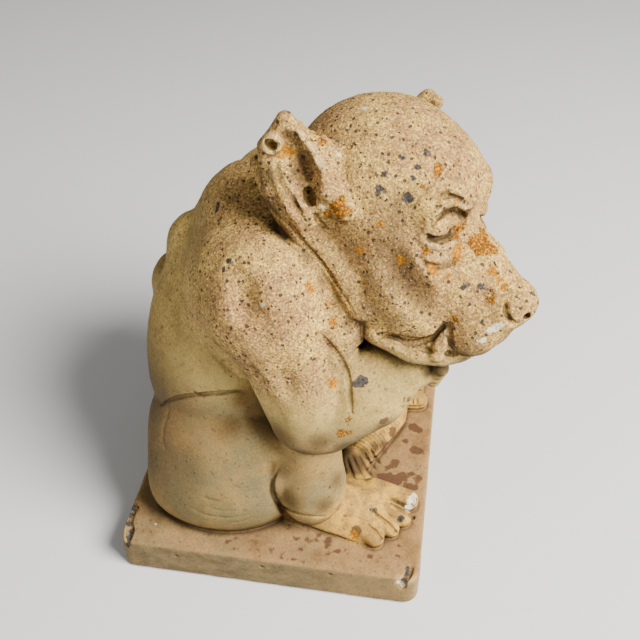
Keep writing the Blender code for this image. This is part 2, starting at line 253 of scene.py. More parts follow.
def half_space(side, low, high):
    """Limits of a piece that belongs to one side of the figure, side -1 being its right."""
    if side < 0:
        return (-190, low[0], low[1]), (8, high[0], high[1])
    return (-8, low[0], low[1]), (190, high[0], high[1])


def flat_back(block):
    block.cut(Slab((0, BACK_PLANE + 100, 200), (250, 100, 260), 5, 5), 22)


def model_torso(clay):
    torso = clay.piece((-190, -140, 0), (190, 175, 475))
    lean = [(1, 0, 0), (0, 0.577, -0.817), (0, 0.817, 0.577)]
    torso.add(Ellipsoid((0, 36, 300), (110, 128, 80), lean), 10)
    torso.add(Ellipsoid((0, 66, 220), (120, 90, 116)), 30)
    torso.add(Ellipsoid((0, 70, 115), (112, 88, 100)), 30)
    torso.add(Ellipsoid((0, -10, 215), (88, 80, 120)), 30)
    for side in (-1, 1):
        torso.add(Ellipsoid((side * 46, 60, 205), (72, 90, 112)), 20)
    torso.add(Limb([(-80, 22, 340), (80, 22, 340)], 58), 30)
    torso.add(Limb([(0, -20, 392), (0, 40, 372)], 46), 20)
    for side in (-1, 1):
        torso.add(Ellipsoid((side * 48, -42, 292), (46, 46, 66)), 20)
    torso.add(Limb([(0, 34, 408), (0, 102, 336), (0, 130, 280), (0, 142, 200)], (14, 13, 12, 10)), 16)
    flat_back(torso)
    for y, z, radius in ((52, 398, 16), (110, 336, 18), (134, 283, 17)):
        torso.add(Ellipsoid((0, y - 3, z - 2), (28, radius + 5, radius), lean), 11)
    torso.cut(Limb([(-30, 138, 308), (30, 138, 308)], 8), 9)
    clay.join(torso, 0)


def model_leg(clay, side):
    haunch = clay.piece(*half_space(side, (-100, 0), (175, 265)))
    haunch.add(Ellipsoid((side * 78, 60, 118), (68, 98, 100)), 10)
    haunch.add(Ellipsoid((side * 92, 64, 82), (69, 94, 68)), 20)
    haunch.add(Limb([(side * 85, 50, 125), (side * 99, -20, 138)], (60, 40)), 20)
    flat_back(haunch)
    clay.join(haunch, 2.5)
    crease = [(-138, -2, 152), (-142, 0, 134), (-142, -2, 112), (-136, -8, 86), (-122, -10, 62)]
    clay.groove([(-side * x, y, z) for x, y, z in crease], 3.5, 0, 4)
    shin = clay.piece(*half_space(side, (-175, 0), (60, 210)))
    shin.add(Ellipsoid((side * 109, -39, 94), (39, 37, 48)), 8)
    shin.add(Limb([(side * 104, -36, 165), (side * 106, -38, 100)], (33, 36)), 8)
    clay.join(shin, 2)
    foot = clay.piece(*half_space(side, (-178, 0), (40, 125)))
    foot.add(Limb([(side * 100, -55, 60), (side * 98, -98, 54)], (24, 20)), 8)
    foot.add(Limb([(side * 114, -16, 44), (side * 124, -70, 45), (side * 130, -100, 45)], (12, 15, 13)), 14)
    foot.add(Limb([(side * 70, -60, 48), (side * 74, -110, 48)], (14, 13)), 14)
    foot.add(Ellipsoid((side * 102, -92, 46), (38, 40, 20)), 12)
    toes = (((72, -104), (80, -144), 12.5), ((92, -104), (105, -139), 11.5),
            ((109, -98), (122, -128), 10.5), ((124, -86), (136, -112), 11.5))
    for root, tip, radius in toes:
        foot.add(Limb([(side * root[0], root[1], 55), (side * tip[0], tip[1], 52)], radius), 2)
    clay.join(foot, 3)


def model_arm(clay, side):
    upper = clay.piece(*half_space(side, (-130, 120), (110, 445)))
    upper.add(Ellipsoid((side * 92, 10, 340), (56, 58, 64)), 10)
    upper.add(Limb([(side * 98, 0, 335), (side * 106, -28, 250), (side * 108, -40, 208)], (50, 46, 44)), 25)
    breast = [(-63, -43, 367), (-72, -53, 348), (-83, -60, 328), (-95, -63, 308), (-103, -61, 290)]
    upper.add(Limb([(-side * x, y, z) for x, y, z in breast], (18, 24, 26, 26, 22)), 10)
    for dent in ((140, 13, 380), (156, -7, 349), (153, -27, 288), (150, -2, 235)):
        upper.cut(Ellipsoid((side * (dent[0] + 12), dent[1], dent[2]), (15, 13, 24)), 18)
    clay.join(upper, 4)
    lower = clay.piece((-190, -205, 120), (190, 60, 330))
    if side < 0:
        path, hand = [(-104, -51, 205), (-100, -98, 237), (-89, -126, 263)], (-78, -145, 264)
    else:
        path, hand = [(104, -48, 207), (70, -90, 224), (22, -126, 242)], (-4, -140, 248)
    lower.add(Limb(path, (43, 37, 27)), 8)
    if side < 0:
        lower.add(Limb([(-97, -78, 256), (-90, -105, 270)], (32, 25)), 8)
    lower.add(Ellipsoid(hand, (24, 22, 21)), 8)
    for i in range(4):
        knuckle = np.array(hand) + (-side * (4 * i - 8), -18 + 2 * i, 12 - 9 * i)
        lower.add(Limb([knuckle + (-side * -12, 0, 0), knuckle + (-side * 12, 3, -2)], (8, 7)), 1.5)
    clay.join(lower, 2.5)


def model_face(head, side):
    """One side of the face. Its left eye lies deeper, as the outline between brow and nose shows."""
    deep = 4.5 if side > 0 else 0.0
    head.cut(Ellipsoid(on_head((side * 34, 96, -6)), (18, 17, 15), HEAD_AXES), 8)
    head.add(Ellipsoid(on_head((side * 41, 68, -9)), (19, 16, 17), HEAD_AXES), 5)
    brow = [(64, 62, 14), (58, 66, 24), (48, 73, 30), (42, 79, 29), (33, 87, 24), (22, 91, 14)]
    head.fold(mirrored(brow, side), 5.5, 2.5 + deep, 6)
    lid = [(59, 72, 0), (52, 80, 12), (41, 87, 13), (28, 90, 8)]
    head.fold(mirrored(lid, side), 4.5, 1 + deep, 4)
    head.groove(mirrored([(56, 73, -6), (53, 75, 0), (45, 81, 5), (32, 86, 5), (22, 88, -2)], side),
                2.4, -0.2 * deep)
    head.groove(mirrored([(60, 75, 11), (57, 78, 18), (51, 83, 22), (41, 88, 20), (29, 92, 13)], side),
                2.2, -0.3 * deep)
    head.cut(Ellipsoid(on_head((side * 21, 91, -1)), (5, 8, 6), HEAD_AXES), 3)
    under = [(58, 71, -21), (53, 76, -26), (46, 82, -28), (34, 86, -26), (25, 88, -20)]
    head.fold(mirrored(under, side), 4.5, 0.5, 3)
    head.groove(mirrored([(57, 73, -16), (52, 77, -18), (44, 81, -18), (32, 84, -15), (25, 86, -11)], side),
                2.6)
    head.groove(mirrored([(63, 73, -34), (61, 79, -39), (51, 88, -41), (39, 95, -37)], side), 2.4)
    hollow = [(77, 57, -46), (74, 68, -55), (69, 79, -65), (63, 87, -74)]
    head.cut(Limb(head.settle(mirrored(hollow, side), -8.5), 14), 14)
    mouth = [(66, 54, -119), (61, 67, -117), (55, 80, -117), (49, 89, -116), (43, 98, -109), (40, 103, -97)]
    head.groove(mirrored(mouth, side), 3.2)
    tusk = mirrored([(43, 104, -124), (41, 105, -110), (40, 105, -97)], side)
    head.add(Limb(head.settle(tusk, 0.5), (9, 6, 2)), 1.5)
    head.groove(mirrored([(39, 107, -94), (38, 109, -106), (34, 114, -117), (30, 122, -122)], side), 2.4)
    head.groove(mirrored([(30, 122, -122), (18, 132, -123), (0, 138, -122)], side), 3.4)
    head.groove(mirrored([(17, 144, -64), (18, 146, -70), (16, 149, -76), (13, 155, -78)], side), 1.9)
    head.cut(Ellipsoid(on_head((side * 9, 162, -71)), (3.5, 5, 3.5), HEAD_AXES), 2)


def model_ear(head, side):
    if side < 0:
        tip, rim, bowl = (117, -50, 58), (101, -24, 26), [(123, -52, 34), (117, -43, 8), (110, -35, -12)]
    else:
        tip, rim, bowl = (121, -37, 61), (102, -16, 26), [(127, -48, 34), (119, -41, 8), (111, -33, -12)]
    front = mirrored([tip, rim, (87, 4, -8)], side)
    back = mirrored([tip, (119, -64, 32), (112, -58, -6), (94, -32, -38)], side)
    web = mirrored([(109, tip[1] - 2, 48), (99, -46, 20), (88, -36, -20)], side)
    head.add(Limb(web, (11, 21, 24)), 8)
    head.add(Ellipsoid(on_head((side * 84, -36, -2)), (22, 30, 50), HEAD_AXES), 8)
    head.add(Limb(mirrored([(84, -32, -47), (73, -23, -62), (66, -13, -72)], side), (14, 16, 16)), 12)
    head.add(Limb(mirrored([(81, -26, -48), (73, -8, -63), (72, 12, -80), (69, 30, -100)], side),
                  (14, 14, 13, 12)), 10)
    head.add(Limb(front, (7, 9, 12)), 6)
    root = mirrored([(98, -84, 8), (96, -70, -14), (94, -55, -28), (90, -34, -44)], side)
    head.add(Limb(root, 8), 10)
    if side < 0:
        head.add(Limb(mirrored([(97, -52, 44), (88, -50, 20), (80, -42, -12)], side), (12, 20, 24)), 8)
    head.add(Limb(back, (7, 8, 8, 10)), 6)
    head.add(Ellipsoid(on_head((side * 93, -12, -8)), (9, 8, 12), HEAD_AXES), 4)
    if side > 0:
        head.cut(Limb(mirrored(bowl, side), (8, 13, 11)), 4)
        head.cut(Limb(mirrored([(112, -30, -8), (97, -25, -8)], side), 4.5), 2)


def model_head(clay):
    head = clay.piece((-190, -275, 200), (190, 120, 520))
    head.add(Ellipsoid(on_head((0, -6, -5)), (88, 92, 86), HEAD_AXES), 4)
    head.add(Ellipsoid(on_head((0, 41, 13)), (60, 46, 45), HEAD_AXES), 16)
    head.add(Limb([on_head((0, 62, -44)), on_head((0, 96, -54)), on_head((0, 137, -68))], (46, 38, 25)), 14)
    head.add(Ellipsoid(on_head((0, 148, -65)), (18, 20, 19), HEAD_AXES), 8)
    head.add(Ellipsoid(on_head((0, -10, -62)), (74, 66, 58), HEAD_AXES), 20)
    head.add(Ellipsoid(on_head((0, 60, -105)), (56, 60, 36), HEAD_AXES), 14)
    for side in (-1, 1):
        head.add(Limb(mirrored([(50, 58, 12), (36, 70, 20), (14, 79, 15)], side), (12, 12, 12)), 12)
        head.add(Ellipsoid(on_head((side * 40, 46, -68)), (38, 52, 56), HEAD_AXES), 16)
        head.add(Ellipsoid(on_head((side * 14, 120, -98)), (25, 26, 28), HEAD_AXES), 12)
        head.add(Limb(mirrored([(10, 140, -76), (11, 122, -94), (10, 104, -118)], side), (19, 25, 23)), 8)
        head.add(Ellipsoid(on_head((side * 28, 98, -66)), (15, 22, 26), HEAD_AXES), 12)
        jaw = [(56, 44, -122), (46, 82, -130), (27, 102, -131), (0, 108, -130)]
        head.add(Limb(mirrored(jaw, side), 12), 8)
    for side in (-1, 1):
        model_face(head, side)
        model_ear(head, side)
    head.add(Limb([on_head((0, -20, -60)), (0, 0, 325)], (70, 78)), 10)
    clay.join(head, 3)


def model_tail(clay):
    clay.add(Limb([(62, -118, 58), (42, -116, 57), (16, -104, 56), (-10, -90, 55), (-32, -78, 54)],
                  (15, 16, 16, 17, 18)), 4)
    clay.add(Limb([(-34, -78, 52), (-50, -80, 49), (-56, -96, 46)], (17, 14, 7)), 6)


def sculpt(step):
    clay = Clay((-190, -275, -12), (190, 175, 520), step)
    model_torso(clay)
    for side in (-1, 1):
        model_leg(clay, side)
    for side in (-1, 1):
        model_arm(clay, side)
    model_head(clay)
    model_tail(clay)
    clay.cut(Slab((0, 0, STAND - ROOTS - 60), (400, 400, 60), 1, 1), 0)
    return clay


def camera_rays(places):
    """Directions from the camera through places given in the image's own columns and rows."""
    places = np.array(places, float)
    up = np.cross(CAMERA_RIGHT, CAMERA_AHEAD)
    across = (places[:, :1] - IMAGE / 2) / FOCAL
    rise = (IMAGE / 2 - places[:, 1:2]) / FOCAL
    rays = CAMERA_AHEAD + across * CAMERA_RIGHT + rise * up
    return rays / np.linalg.norm(rays, axis=1, keepdims=True)


def smooth_line(corners, spacing=2.0):
    """A flowing line through the given corners, with a point about every so many units."""
    corners = np.array(corners, float)
    ends = np.vstack([2 * corners[0] - corners[1], corners, 2 * corners[-1] - corners[-2]])
    points = []
    for a, b, c, d in zip(ends, ends[1:], ends[2:], ends[3:]):
        count = max(2, int(np.linalg.norm(c - b) / spacing))
        for t in np.arange(count) / count:
            points.append(0.5 * (2 * b + (c - a) * t + (2 * a - 5 * b + 4 * c - d) * t ** 2
                                 + (3 * b - a - 3 * c + d) * t ** 3))
    return np.array(points + [corners[-1]])


def thrown(clay, line, spacing=2.0):
    """Where lines of sight through an image line first meet the clay."""
    rays = camera_rays(smooth_line(line, spacing) if len(line) > 1 else line)
    start = 1000.0 * CAMERA_AT
    found = np.full(len(rays), np.nan)
    for reach in np.arange(*SIGHT_REACH, 1.0):
        value = clay.sample(start + reach * rays)
        found = np.where(np.isnan(found) & (value < 0.0), reach, found)
    met = ~np.isnan(found)
    return start + found[met, None] * rays[met]


def twin_on_head(points):
    """The same places on the other side of the head."""
    local = (points - HEAD_CENTRE) @ HEAD_AXES.T
    return HEAD_CENTRE + (local * (-1, 1, 1)) @ HEAD_AXES


def twin_on_body(points):
    return points * (-1, 1, 1)


def taper(count, radius, ends):
    """Radii that thin out towards the two ends of a line."""
    along = np.linspace(0.0, 1.0, count)
    radius = np.interp(along, np.linspace(0.0, 1.0, np.size(radius)), np.atleast_1d(radius))
    return radius * (ends + (1.0 - ends) * np.clip(4.0 * np.minimum(along, 1.0 - along), 0.0, 1.0))


def incise(clay, line, radius, sink, blend, ends=0.35, twin=None):
    """A groove along an image line. The twin on the guessed side is finer."""
    points = thrown(clay, line)
    clay.cut(Limb(clay.settle(points, sink), taper(len(points), radius, ends)), blend)
    if twin:
        finer = taper(len(points), 0.75 * np.array(radius), ends)
        clay.cut(Limb(clay.settle(twin(points), sink), finer), blend)


def raise_roll(clay, line, radius, sink, blend, ends=0.4, twin=None):
    """A raised roll along an image line. The twin on the guessed side lies lower."""
    points = thrown(clay, line)
    clay.add(Limb(clay.settle(points, sink), taper(len(points), radius, ends)), blend)
    if twin:
        clay.add(Limb(clay.settle(twin(points), sink + 1.5), taper(len(points), radius, ends)), blend)


# Lines of image places, each with how it is worked, its radius, depth and softness, and its thin ends.
FACE_LINES = {
    "upper_lid": (raise_roll, [(431, 206), (441, 201), (452, 202), (462, 206)], 3.6, 1.0, 3),
    "under_upper_lid": (incise, [(434, 223), (440, 216), (447, 211), (454, 211), (461, 215)],
        1.5, 0.2, 1),
    "lid_crease": (incise, [(440, 201), (448, 197), (456, 198), (463, 202)], 1.3, 0.2, 1.5),
    "inner_corner": (incise, [(455, 208), (461, 213), (465, 221)], 3.0, 0.5, 2),
    "lower_slit": (incise, [(427, 237), (433, 239), (439, 238), (446, 235), (452, 230)], 1.6, 0.9, 0.8),
    "lower_lid": (raise_roll, [(426, 240), (431, 245), (439, 247), (447, 245), (453, 240)],
        2.4, 0.8, 1.5),
    "under_lower_lid": (incise, [(427, 247), (433, 251), (441, 252), (449, 250), (455, 245)],
        1.2, 0.2, 1),
    "eye_bag": (incise, [(420, 257), (427, 264), (438, 267), (449, 265), (456, 260)], 1.4, 0.1, 1.5),
    "brow_fold": (incise, [(450, 186), (460, 189), (468, 196), (474, 205)], 1.3, 0.1, 1.5),
    "outer_brow": (incise, [(413, 205), (420, 196), (430, 186)], 1.5, 0.3, 1),
    "inner_brow": (incise, [(437, 199), (444, 194), (453, 191), (461, 194)], 1.1, 0.2, 1),
    "cheek_hollow": (incise, [(394, 262), (402, 276), (412, 291), (425, 304)], 13.0, -7.5, 9),
    "lips": (incise, [(383, 336), (393, 337), (403, 341), (413, 343), (424, 341), (433, 337), (444, 326)],
        (1.2, 1.8, 2.6, 2.4, 2.0), 0.9, 0.8, 0.6),
    "tusk_front": (incise, [(448, 324), (447, 335), (450, 343), (455, 350), (461, 354)], 1.3, 0.4, 1),
    "tusk_back": (incise, [(443, 331), (441, 340), (436, 348)], 1.3, 0.2, 1),
    "tusk_root": (incise, [(424, 344), (426, 349), (431, 352)], 1.2, 0.2, 1),
    "lower_lip": (incise, [(388, 342), (398, 346), (409, 348), (420, 347), (429, 351), (441, 354),
        (451, 354)], (2, 3.2, 3.4, 2.4, 1.8, 1.8), 0.2, 2),
    "lip_corner": (incise, [(445, 353), (452, 354), (458, 356)], 2.8, 0.8, 1),
    "nostril_wing": (incise, [(506, 303), (505, 310), (508, 317), (514, 321)], 1.8, 0.6, 1),
}

EAR_LINES = {
    "back_rim": (raise_roll, [(271, 156), (273, 172), (278, 189), (286, 205), (295, 219), (303, 231)],
        4.0, 1.2, 2),
    "bowl": (incise, [(286, 132), (290, 145), (293, 158), (297, 172), (303, 187), (309, 203)],
        (8, 13, 16, 17, 14, 9), -4.5, 2, 0.8),
    "rim_groove": (incise, [(289, 128), (296, 137), (303, 147), (310, 158), (316, 168), (321, 176)],
        (2.5, 4, 4.5, 4, 3), -0.2, 0.8),
    "bowl_floor": (incise, [(298, 151), (304, 160), (308, 170), (307, 180)], (3, 5.5, 5.5, 4), 1.0, 4),
    "canal": (incise, [(308, 192), (310, 197), (311, 201)], (5, 6, 4.5), 3.0, 2.0, 1.0),
    "back_groove": (incise, [(279, 159), (279, 172), (284, 186), (292, 199), (300, 213), (305, 222)],
        2.0, 0.7, 1.5),
    "inner_fold": (incise, [(288, 188), (295, 200), (302, 212)], 1.4, 0.3, 1.0),
    "lobe_groove": (incise, [(314, 213), (319, 222), (326, 229)], 2.4, 0.9, 2),
    "rim_notch": (incise, [(304, 143), (309, 138)], 1.5, 0.4, 0.5),
    "curl": (raise_roll, [(271.5 + 7.5 * np.sin(a), 144.5 - 8 * np.cos(a))
        for a in np.linspace(-2.9, 2.9, 14)], 3.1, -0.4, 1.2, 0.9),
    "curl_pit": (incise, [(269, 142), (273, 146)], 4.0, 1.6, 1.0, 1.0),
    "front_knob": (raise_roll, [(322, 191), (327, 198)], 4.5, 1.5, 3, 0.8),
}

ARM_LINES = {
    "nape": (incise, [(254, 164), (256, 181), (263.5, 197), (274, 212), (290, 226), (305, 244),
        (324, 266), (340, 291), (357, 317)], 1.8, 0.6, 1),
    "elbow_dent": (incise, [(284, 370), (287, 384), (288, 399)], 8.0, -5.0, 6),
    "arm_dent": (incise, [(247, 366), (256, 375), (266, 385)], 6.0, -3.6, 4),
    "arm_fold": (incise, [(250, 362), (255, 370), (258, 380)], 1.5, 0.2, 1),
    "lower_arm_fold": (incise, [(241, 368), (249, 375), (254, 384)], 1.3, 0.0, 1),
    "shoulder_dent": (incise, [(255, 311), (262, 321)], 9.0, -6.0, 6),
    "shoulder_back": (incise, [(228, 262), (240, 285), (243, 310), (238, 335)], 12.0, -9.0, 8),
    "shoulder_front": (incise, [(300, 285), (312, 305), (318, 328)], 10.0, -7.5, 7),
    "arm_front": (incise, [(324, 362), (327, 380), (322, 396)], 8.0, -5.5, 6),
    "breast_crease": (incise, [(343, 363), (350, 356), (358, 348), (367, 339)], 2.0, 0.6, 1),
    "arm_crease": (incise, [(321, 333), (331, 346), (343, 363), (348, 378), (350, 398), (352, 414)],
        2.4, 0.8, 1.5),
}

FLANK_LINES = {
    "waist": (incise, [(160, 405), (175, 399), (190, 396), (215, 394), (242, 391)], 2.4, 1.0, 1.5),
    "waist_fold": (incise, [(187, 389), (197, 393), (206, 394)], 1.2, 0.1, 1),
    "haunch_back": (incise, [(169, 409), (165, 422), (163, 438), (165, 452)], 1.0, 0.0, 1.5),
    "haunch_wrinkle": (incise, [(190, 506), (200, 513), (215, 517), (232, 518), (248, 514)],
        1.2, 0.0, 1.5),
    "upper_wrinkle": (incise, [(202, 497), (210, 500), (219, 501)], 1.4, 0.1, 1.5),
    "middle_wrinkle": (incise, [(208, 507), (222, 511), (238, 510)], 1.0, 0.0, 1.2),
    "lower_wrinkle": (incise, [(226, 523), (240, 522), (254, 517)], 1.0, 0.0, 1.2),
    "shin_crease": (incise, [(279, 468), (273, 480), (273, 493), (279, 504), (290, 511), (305, 516),
        (324, 517)], 2.2, 0.8, 1.5),
    "below_arm": (incise, [(205, 345), (215, 356), (228, 368), (240, 378)], 2.4, -0.4, 3),
}

FOOT_LINES = {
    "inner_gap": (incise, [(390, 502), (398, 507), (406, 512), (413, 517)],
        (1.2, 2.2, 2.8, 2.6), 1.4, 1.2, 0.8),
    "middle_gap": (incise, [(375, 512), (382, 518), (390, 526), (397, 534)],
        (1.2, 2.2, 2.8, 2.6), 1.4, 1.2, 0.8),
    "outer_gap": (incise, [(369, 524), (376, 531), (383, 541)], (1.2, 2.4, 2.6), 1.4, 1.2, 0.8),
    "nail": (incise, [(402 + 3.2 * np.sin(a), 519 - 4.6 * np.cos(a))
        for a in np.linspace(0, 6.28, 12)], 0.9, 0.2, 0.5, 1.0),
    "worn_toe": (incise, [(411, 498), (414, 505)], 3.0, -0.4, 0.8, 0.9),
    "toe_nick": (incise, [(405, 508), (410, 506)], 2.4, -0.2, 0.8, 0.9),
    "foot_edge": (incise, [(284, 514), (299, 523), (318, 531), (338, 537), (356, 543)], 1.6, 0.5, 1),
}
HAND_LINES = {
    "finger_gap_1": (incise, [(404, 398), (403.5, 404)], 1.5, 0.5, 0.6, 0.8),
    "finger_gap_2": (incise, [(408.5, 398), (408, 404)], 1.5, 0.5, 0.6, 0.8),
    "finger_gap_3": (incise, [(413, 398), (412.5, 404)], 1.5, 0.5, 0.6, 0.8),
    "finger_gap_4": (incise, [(417, 398), (416.5, 404)], 1.5, 0.5, 0.6, 0.8),
    "finger_ends": (incise, [(399, 407.5), (408, 407), (417, 407), (425, 405)], 1.5, 0.5, 0.8),
}
TUFT_LOCKS = (
    [(347, 459), (350, 469), (355, 479)],
    [(352, 456), (357, 467), (364, 477)],
    [(358, 454), (363, 464), (371, 475)],
    [(364, 452), (369, 461), (376, 470)],
    [(371, 450), (375, 457), (380, 464)],
)
ARRIS_BREAKS = {
    "back_arris": (incise, [(134, 504), (132, 513), (130, 522), (130, 531), (128, 539), (127, 546)],
        (2.5, 4.2, 3, 4.6, 3.2, 2), 0.6, 0.8, 1.0),
    "front_arris": (incise, [(412, 567), (409, 573), (405, 580), (402, 587)],
        (2, 4.4, 3.6, 4.2), 0.8, 0.8, 1.0),
}
CHIPS = ((399, 583, 5, 4), (136, 509, 4, 3), (410, 506, 4, 2), (176, 556, 3, 1.5), (262, 567, 3, 1.5),
         (330, 575, 3, 1.5))
NOSTRIL = (526, 315)


def carve_lines(clay, lines, twin=None):
    """Carves every line of a table in turn: how it is worked, its places, radius, depth and softness."""
    for work, line, *measures in lines.values():
        work(clay, line, *measures, twin=twin)


def carve_nostril(clay):
    for place in thrown(clay, [NOSTRIL]):
        clay.cut(Ellipsoid(place, (3.5, 3.5, 3.0)), 1)


def carve_tail(clay):
    """Fine rings round the tail, and the tuft's locks that run down onto the plinth."""
    path = np.array([(56, -118, 58), (36, -114, 57), (12, -102, 56), (-14, -88, 55), (-32, -78, 54)], float)
    line = smooth_line(path, 4.5)
    rise = np.array((0, 0, 1))
    for place, ahead in zip(line[:-1], np.diff(line, axis=0)):
        across = unit_vector(np.cross(ahead, rise))
        ring = [place + 18 * (np.cos(a) * across + np.sin(a) * rise) for a in np.linspace(0.1, 2.9, 10)]
        clay.groove(ring, 1.4, 0.4, 0.8)
    for lock in TUFT_LOCKS:
        incise(clay, lock, 1.7, 0.5, 1.0)


def break_edges(clay):
    """Chips out of the plinth's arrises, left rough, and the blunt broken tip of the far ear."""
    carve_lines(clay, ARRIS_BREAKS)
    for column, row, wide, deep in CHIPS:
        for found in thrown(clay, [(column, row)]):
            clay.cut(Ellipsoid(found, (wide, wide * 0.9, deep)), 1.0)
    stump = mirrored([(118, -40, 56), (118, -34, 59), (116, -25, 59)], 1)
    clay.add(Limb(stump, (8, 7, 8)), 4)
    clay.cut(Limb(mirrored([(130, -30, 71), (104, -34, 71)], 1), 4), 1)


def sculpt_all(step):
    clay = sculpt(step)
    plinth = Slab((0, 0, PLINTH[2] / 2), np.array(PLINTH) / 2, PLINTH_CORNER, PLINTH_ARRIS)
    clay.add(plinth, 2.5)
    carve_lines(clay, FACE_LINES, twin_on_head)
    carve_nostril(clay)
    carve_lines(clay, EAR_LINES)
    carve_lines(clay, ARM_LINES)
    carve_lines(clay, FLANK_LINES, twin_on_body)
    carve_lines(clay, FOOT_LINES, twin_on_body)
    carve_lines(clay, HAND_LINES)
    carve_tail(clay)
    break_edges(clay)
    return clay


class Cloud:
    """Smooth seeded noise between -1 and 1, repeating far beyond the casting's size."""

    def __init__(self, seed, size=32):
        self.size = size
        self.values = np.random.default_rng(seed).random((size, size, size)) * 2.0 - 1.0

    def at(self, points, scale):
        spread = points / scale
        cell = np.floor(spread).astype(int)
        share = spread - cell
        share = share * share * (3.0 - 2.0 * share)
        total = 0.0
        for corner in np.ndindex(2, 2, 2):
            place = (cell + corner) % self.size
            weight = np.prod(np.where(corner, share, 1.0 - share), axis=1)
            total = total + weight * self.values[place[:, 0], place[:, 1], place[:, 2]]
        return total


def ramp(value, low, high):
    share = np.clip((value - low) / (high - low), 0.0, 1.0)
    return share * share * (3.0 - 2.0 * share)


def surface_points(clay):
    grid = openvdb.FloatGrid(EMPTY)
    grid.copyFromArray(clay.field)
    points, quads = grid.convertToQuads(0.0)
    points = np.array(points) * clay.step + np.array([axis[0] for axis in clay.axes])
    return points, np.array(quads)


def outer_shell(points, quads):
    """Only the outer skin is kept, by spreading one number over each connected sheet."""
    label = np.arange(len(points))
    while True:
        lowest = label[quads].min(1)
        fresh = label.copy()
        for k in range(4):
            np.minimum.at(fresh, quads[:, k], lowest)
        fresh = fresh[fresh]
        if (fresh == label).all():
            break
        label = fresh
    counts = np.bincount(label[quads[:, 0]], minlength=len(points))
    kept = quads[label[quads[:, 0]] == counts.argmax()]
    used, numbers = np.unique(kept, return_inverse=True)
    return points[used], numbers.reshape(kept.shape)


def weathered(points):
    """How far the skin is bared to the grain, from 0 low on the figure to 1 over the head and shoulders."""
    cloud = Cloud(11)
    height = points[:, 2] + 26 * cloud.at(points, 70) + 12 * cloud.at(points, 24)
    bare = ramp(height, 225, 330)
    forearm = ramp(points[:, 1], -40, -75) * ramp(points[:, 2], 330, 290) * ramp(points[:, 0], -20, -60)
    return np.clip(bare * (1.0 - 0.55 * forearm), 0.0, 1.0)


def wear_skin(points):
    """Millimetres by which each point leaves the sculpted form: dips, coarse grain and pits."""
    bare = weathered(points)
    cloud = Cloud(3)
    dips = 0.45 * cloud.at(points, 17) + 0.28 * cloud.at(points, 7.5)
    grain = (0.24 * cloud.at(points, 3.4) + 0.15 * cloud.at(points, 2.1)) * (0.25 + 0.75 * bare)
    pits = np.minimum(0.0, cloud.at(points + 50, 4.2) + 0.62) * 2.6 * (0.15 + 0.85 * bare)
    return -0.35 + dips * 0.6 + grain + pits


def make_form(clay):
    points, quads = outer_shell(*surface_points(clay))
    mesh = bpy.data.meshes.new("carved_stone")
    mesh.from_pydata(points.tolist(), [], quads.tolist())
    mesh.update()
    normals = np.empty(len(points) * 3, np.float32)
    mesh.vertex_normals.foreach_get("vector", normals)
    normals = normals.reshape(-1, 3)
    points = points + wear_skin(points)[:, None] * normals
    low, high = 1000 * np.array(cad_box)
    points = np.clip(points, low + CLEARANCE, high - CLEARANCE)
    points[:, 2] = np.where(points[:, 2] < BASE_BAND, CLEARANCE, points[:, 2])
    mesh.vertices.foreach_set("co", (points / 1000.0).astype(np.float32).ravel())
    mesh.update()
    stone = bpy.data.objects.new("gargoyle_carved", mesh)
    bpy.context.scene.collection.objects.link(stone)
    thin = stone.modifiers.new("fewer_faces", "DECIMATE")
    thin.ratio = FACES / (2.0 * len(quads))
    graph = bpy.context.evaluated_depsgraph_get()
    graph.update()
    finished = bpy.data.meshes.new_from_object(stone.evaluated_get(graph))
    stone.modifiers.clear()
    stone.data = finished
    bpy.data.meshes.remove(mesh)
    finished.name = "carved_stone"
    finished.shade_smooth()
    return stone


# Spots of growth and stain, and patches of painted shade: the image's column and row, and a radius in the
# image's own units.
LICHEN = {
    "orange": [(481, 240, 9), (489, 247, 9), (479, 250, 7), (474, 243, 7), (484, 233, 6), (495, 250, 5),
        (438, 168, 6), (437, 174, 5), (422, 187, 3), (426, 251, 5), (457, 230, 4), (456, 237, 4),
        (463, 226, 4), (492, 294, 3), (491, 300, 4), (455, 319, 4), (319, 134, 4), (322, 142, 4),
        (476, 190, 3), (477, 197, 3), (341, 203, 6), (334, 207, 6), (328, 213, 5), (340, 214, 7),
        (349, 211, 5), (343, 197, 4), (348, 419, 4), (342, 433, 6), (349, 433, 4)],
    "yellow": [(457, 250, 4), (457, 257, 4), (460, 245, 2), (434, 270, 5), (430, 265, 2), (283, 150, 5),
        (281, 154, 4), (291, 153, 3), (457, 202, 3), (401, 260, 4), (333, 383, 5), (333, 322, 3),
        (311, 290, 3), (309, 285, 3), (329, 304, 2), (505, 287, 3), (492, 271, 4), (499, 280, 3),
        (447, 276, 2), (355, 535, 4), (360, 250, 3), (380, 224, 3)],
}
